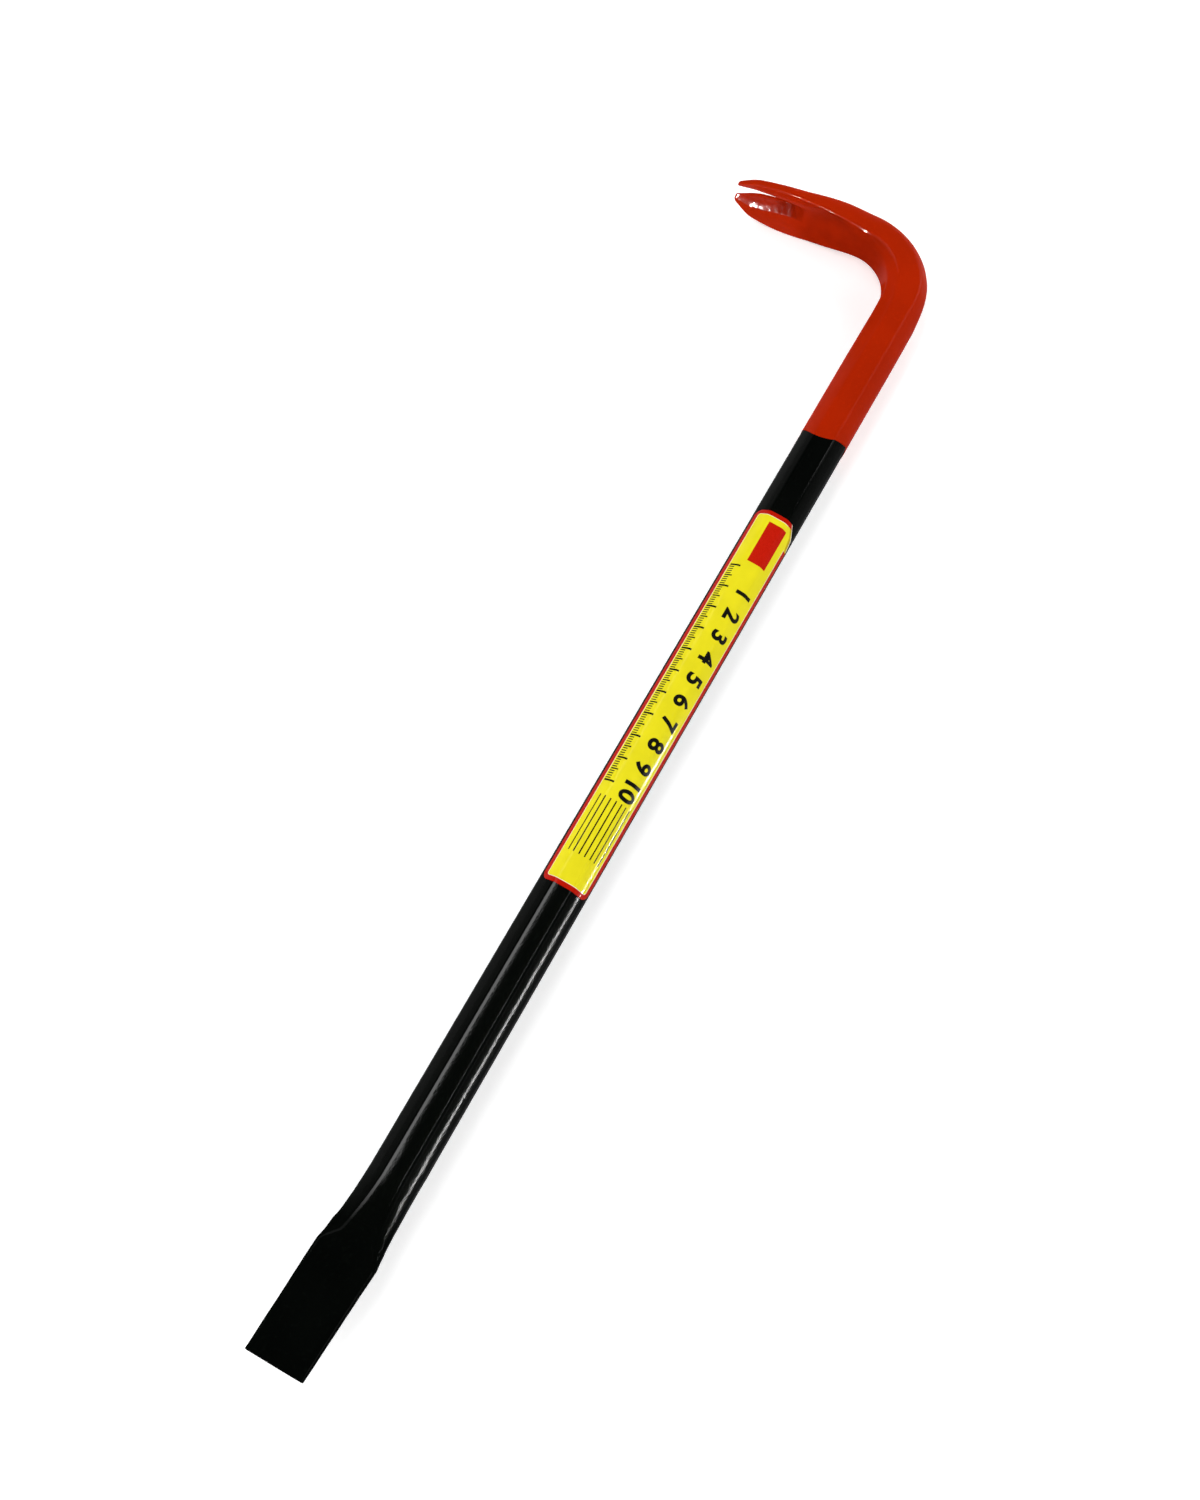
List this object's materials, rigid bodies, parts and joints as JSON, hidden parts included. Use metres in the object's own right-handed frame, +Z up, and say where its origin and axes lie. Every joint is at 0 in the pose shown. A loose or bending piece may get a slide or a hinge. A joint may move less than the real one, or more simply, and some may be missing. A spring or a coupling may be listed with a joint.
{
  "type": "pry bar",
  "caption": "L-shaped forged pry bar of octagonal stock, with a countersunk nail claw on the bent end, a flat chisel on the straight end, and a wrapped label.",
  "frame": {"origin": "on the ground, under the middle of the box of the bar lying on its side", "axes": "+X along the shaft towards the hook, +Y the way the claw points, +Z up, square to the hook's plane"},
  "size_m": [0.5, 0.0962, 0.0254],
  "materials": {
    "black_paint": "gloss black paint over forged steel",
    "orange_paint": "dipped orange paint over the hook end",
    "label_film": "printed self-adhesive film"
  },
  "bodies": {
    "root": {"forged_bar": "black_paint", "label": "label_film"}
  },
  "joints": []
}
